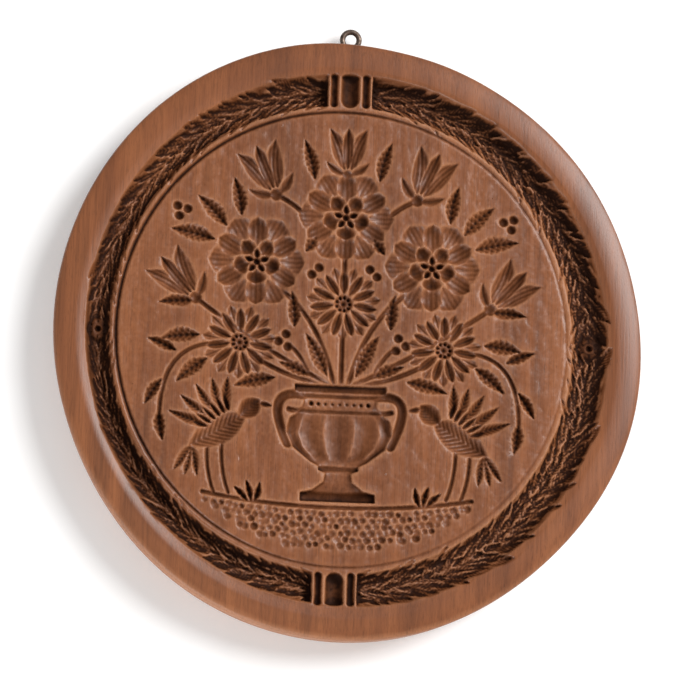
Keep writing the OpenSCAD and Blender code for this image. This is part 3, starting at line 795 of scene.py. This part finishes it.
# drawn brass wire gone brown with age: a dull metal, rubbed brighter in patches
def agedBrass():
    mat, tree, shader = material("agedBrass")
    patch = grain(tree, (1.6, 1.6, 1.6), 4)
    browns = [(0.35, "4a3c34"), (0.6, "75655a"), (0.8, "93857a")]
    tone = add(tree, "ShaderNodeValToRGB", {"Fac": patch}, browns)
    tree.links.new(tone, shader.inputs["Base Color"])
    rough = add(tree, "ShaderNodeValToRGB", {"Fac": patch}, [(0.3, 0.55), (0.75, 0.38)])
    tree.links.new(rough, shader.inputs["Roughness"])
    shader.inputs["Metallic"].default_value = 0.85
    pitting = grain(tree, (0.3, 0.3, 0.3), 3)
    bump = add(tree, "ShaderNodeBump", {"Height": pitting, "Strength": 0.2, "Distance": 0.00005})
    tree.links.new(bump, shader.inputs["Normal"])
    return mat


# The eye: its place, its wire, ring and shank, its thread's pitch and depth as a share, and its pilot hole
eye = {"x": -1.87, "z": 5.5, "edge": 106.27, "wire": 2.0, "ring": 8.0, "shank": 1.9, "length": 14.0,
       "point": 3.0, "gap": 0.05, "pitch": 1.1, "thread": 0.22, "sides": 20,
       "holeR": 1.0, "holeEnd": 0.4, "holeOver": 3, "holeSides": 24,
       # steps along the shank, bend and ring, where the bend starts and is drawn to, and the ring's two ends
       "steps": (150, 12, 80), "neck": 0.9, "bend": (0.15, 0.05), "join": -62, "close": 266,
       "plain": 2.5, "threadFade": 0.8, "growOver": 1.2, "blunt": 0.12}

# the blank is thinned to its budget, and the eye's pilot hole is bored
blank = bpy.data.objects.new("blank", boardMesh())
scene.collection.objects.link(blank)
holeY = [eye["edge"] - eye["length"] - eye["holeEnd"], eye["edge"] + eye["holeOver"]]
drillPath = np.stack([np.full(2, eye["x"]), holeY, np.full(2, eye["z"])], -1)
drillMesh = tube("drill", drillPath, np.full((2, eye["holeSides"]), eye["holeR"]))
drill = bpy.data.objects.new("drill", drillMesh)
scene.collection.objects.link(drill)
thin = blank.modifiers.new("thin", "DECIMATE")
thin.ratio = board["triangles"] / (2 * len(blank.data.polygons))
bore = blank.modifiers.new("bore", "BOOLEAN")
bore.object = drill
bore.operation = "DIFFERENCE"
bpy.context.view_layer.update()
boardShape = bpy.data.meshes.new_from_object(blank.evaluated_get(bpy.context.evaluated_depsgraph_get()))
boardShape.name = "mouldBoard"
for obj in (blank, drill):
    old = obj.data
    bpy.data.objects.remove(obj)
    bpy.data.meshes.remove(old)

# Wax and painted shade, and wear and painted highlight, at each point of the front. The rim is painted paler
# at the lower left and the edge along its lower part, painted highlights that stand in for the light falling
# there: a strength, the direction across from the paler part in radians, a power, how far in from the edge it
# starts and over how much it fades in.
paleLowerLeftAndFront = {"rim": (0.08, 0.87, 7, 7.5, 2), "edge": (0.45, 1.31, 3, 2, 1.2), "frontHigh": 8.5, "frontR": 97.8}
spots = np.empty(len(boardShape.vertices) * 3, dtype=np.float32)
boardShape.vertices.foreach_get("co", spots)
spots = spots.reshape(-1, 3) * 1000.0
fromX, fromY = spots[:, 0] - board["carveX"], spots[:, 1] - board["carveY"]
front = (spots[:, 2] > board["thick"] - paleLowerLeftAndFront["frontHigh"]) & (np.hypot(fromX, fromY) < paleLowerLeftAndFront["frontR"])
bearing = np.arctan2(spots[:, 1], spots[:, 0])
toEdge = np.hypot(spots[:, 0], spots[:, 1]) - edgeRadius(bearing)
paintedLowLight = 0
for name in ("rim", "edge"):
    strength, opposite, power, start, fade = paleLowerLeftAndFront[name]
    lowSideShare = (0.5 - 0.5 * np.cos(bearing - opposite)) ** power
    paintedLowLight = paintedLowLight + strength * lowSideShare * np.clip((toEdge + start) / fade, 0, 1)
darkAndPale = (("waxAndShade", waxAndShade, wearAndShading["mostWaxShade"], 0), ("wearAndHighlight", wearAndHighlight, wearAndShading["mostWornHighlight"], paintedLowLight))
for name, values, most, least in darkAndPale:
    found = np.maximum(np.where(front, np.clip(sample(values, fromX, fromY), 0, most), 0), least)
    boardShape.attributes.new(name, "FLOAT", "POINT").data.foreach_set("value", found.astype(np.float32))
boardShape.materials.clear()
piece("mouldBoard", boardShape, "board", "mould_board", pearwood())
print("board:", len(boardShape.vertices), "points,", len(boardShape.polygons), "faces")


# screw eye: a wire carried along a straight shank, a short bend and a ring that closes on the shank. Its
# radius is the shank's, less a triangle wave that winds round it for the thread, grows to the wire's above
# the wood, and shrinks to the point in proportion to the distance from it.
def eyeMesh():
    r = (eye["ring"] - eye["wire"]) / 2
    tip = eye["edge"] - eye["length"]
    centre = eye["edge"] + eye["gap"] + eye["ring"] / 2
    neck = centre - r - eye["neck"]
    shankSteps, bendSteps, ringSteps = eye["steps"]
    shank = np.stack([np.zeros(shankSteps), np.linspace(tip, neck, shankSteps)], -1)
    join = math.radians(eye["join"])
    enter = np.array([r * math.cos(join), centre + r * math.sin(join)])
    pull = (eye["bend"][0], centre - r - eye["bend"][1])
    turn = curve((0, neck), pull, enter, np.linspace(0, 1, bendSteps)[1:])
    sweep = np.linspace(join, math.radians(eye["close"]), ringSteps)[1:]
    ring = np.stack([r * np.cos(sweep), centre + r * np.sin(sweep)], -1)
    flat = np.concatenate([shank, turn, ring])
    path = np.concatenate([flat + [eye["x"], 0], np.full((len(flat), 1), eye["z"])], -1)
    along = np.concatenate([[0], np.cumsum(np.linalg.norm(np.diff(flat, axis=0), axis=1))])[:, None]
    side = np.arange(eye["sides"])[None] / eye["sides"]
    wave = np.abs(np.mod(along / eye["pitch"] - side, 1) * 2 - 1)
    threaded = np.clip((eye["length"] - eye["plain"] - along) / eye["threadFade"], 0, 1)
    core = eye["shank"] / 2 * (1 - eye["thread"] * threaded * wave)
    grow = np.clip((along - eye["length"]) / eye["growOver"], 0, 1)
    radii = core + (eye["wire"] / 2 - eye["shank"] / 2) * grow
    radii = radii * np.clip(eye["blunt"] + along / eye["point"], 0, 1)
    return tube("hangingEye", path, radii)


piece("hangingEye", eyeMesh(), "eye", "hanging_eye", agedBrass())
print("eye: made")

# Light: a broad lamp high at the upper right, a weak low one at the lower left and a pale surround. The
# lamps' places and sizes are in metres.
lights = {
    "key": {"at": (1.26, 0.75, 1.37), "size": 1.15, "power": 46.5},
    "low": {"at": (-0.56, -0.90, 0.22), "size": 0.80, "power": 11.0},
    "sky": 0.39, "lift": 0.12,
}


# matt white paper under the board: even and without shine. To the camera and in reflections it looks a
# little paler than it lights the wood.
def floorPaper():
    mat, tree, shader = material("whitePaper")
    mottle = grain(tree, (40, 40, 40), 2)
    tone = add(tree, "ShaderNodeValToRGB", {"Fac": mottle}, [(0.3, "f4f3f2"), (0.7, "f8f8f8")])
    tree.links.new(tone, shader.inputs["Base Color"])
    shader.inputs["Roughness"].default_value = 0.9
    shader.inputs["Specular IOR Level"].default_value = 0.1
    shader.inputs["Emission Color"].default_value = (1, 1, 1, 1)
    rays = [add(tree, "ShaderNodeLightPath", out=name)
            for name in ("Is Camera Ray", "Is Glossy Ray", "Is Transmission Ray")]
    seen = add(tree, "ShaderNodeMath", {0: rays[0], 1: rays[1]}, operation="MAXIMUM")
    seen = add(tree, "ShaderNodeMath", {0: seen, 1: rays[2]}, operation="MAXIMUM")
    lift = add(tree, "ShaderNodeMath", {0: seen, 1: lights["lift"]}, operation="MULTIPLY")
    tree.links.new(lift, shader.inputs["Emission Strength"])
    return mat


floorHalf = 3  # metres
floorCorners = np.array([[-1, -1, 0], [1, -1, 0], [1, 1, 0], [-1, 1, 0]], dtype=float) * floorHalf
floorMesh = meshFrom("floor", floorCorners, np.array([[0, 1, 2, 3]]), np.zeros((0, 3), dtype=int))
floor = bpy.data.objects.new("floor", floorMesh)
scene.collection.objects.link(floor)
floorMesh.materials.append(floorPaper())
for name in ("key", "low"):
    spec = lights[name]
    lamp = bpy.data.lights.new(name, "AREA")
    lamp.shape = "DISK"
    lamp.size = spec["size"]
    lamp.energy = spec["power"]
    lampObj = bpy.data.objects.new(name, lamp)
    scene.collection.objects.link(lampObj)
    lampObj.location = spec["at"]
    lampObj.rotation_euler = (-Vector(spec["at"])).to_track_quat("-Z", "Y").to_euler()
world = bpy.data.worlds.new("surround")
world.use_nodes = True
background = world.node_tree.nodes["Background"]
background.inputs["Color"].default_value = (1, 1, 1, 1)
background.inputs["Strength"].default_value = lights["sky"]
scene.world = world
scene.view_settings.view_transform = "Standard"
print("stage: floor and lamps set")

# Camera: about 9 degrees off the face's normal towards the lower left, with the board leaning a little
# clockwise. The distance is in metres, and the board's centre and the scale are in pixels of the picture.
view = {"away": 1.0, "tiltX": -3.9, "tiltY": -8.1, "lean": 1.85, "perMm": 2.786, "middle": (345.1, 343.7),
        "pixels": 700, "sensor": 36}
lean = math.radians(view["lean"])
right = Vector((math.cos(lean), math.sin(lean), 0))
up = Vector((-math.sin(lean), math.cos(lean), 0))
tx, ty = math.sin(math.radians(view["tiltX"])), math.sin(math.radians(view["tiltY"]))
toward = right * tx + up * ty + Vector((0, 0, math.sqrt(1 - tx * tx - ty * ty)))
axisX = up.cross(toward).normalized()
axisY = toward.cross(axisX)
lens = bpy.data.cameras.new("camera")
lens.sensor_width = view["sensor"]
lens.lens = view["sensor"] * view["perMm"] * view["away"] * 1000 / view["pixels"]
lens.shift_x = (view["pixels"] / 2 - view["middle"][0]) / view["pixels"]
lens.shift_y = (view["middle"][1] - view["pixels"] / 2) / view["pixels"]
lens.clip_start = 0.01
camera = bpy.data.objects.new("camera", lens)
scene.collection.objects.link(camera)
facing = Matrix((axisX, axisY, toward)).transposed().to_4x4()
camera.matrix_world = Matrix.Translation(toward * view["away"]) @ facing
scene.camera = camera
print("stage: camera set")

bpy.context.view_layer.update()
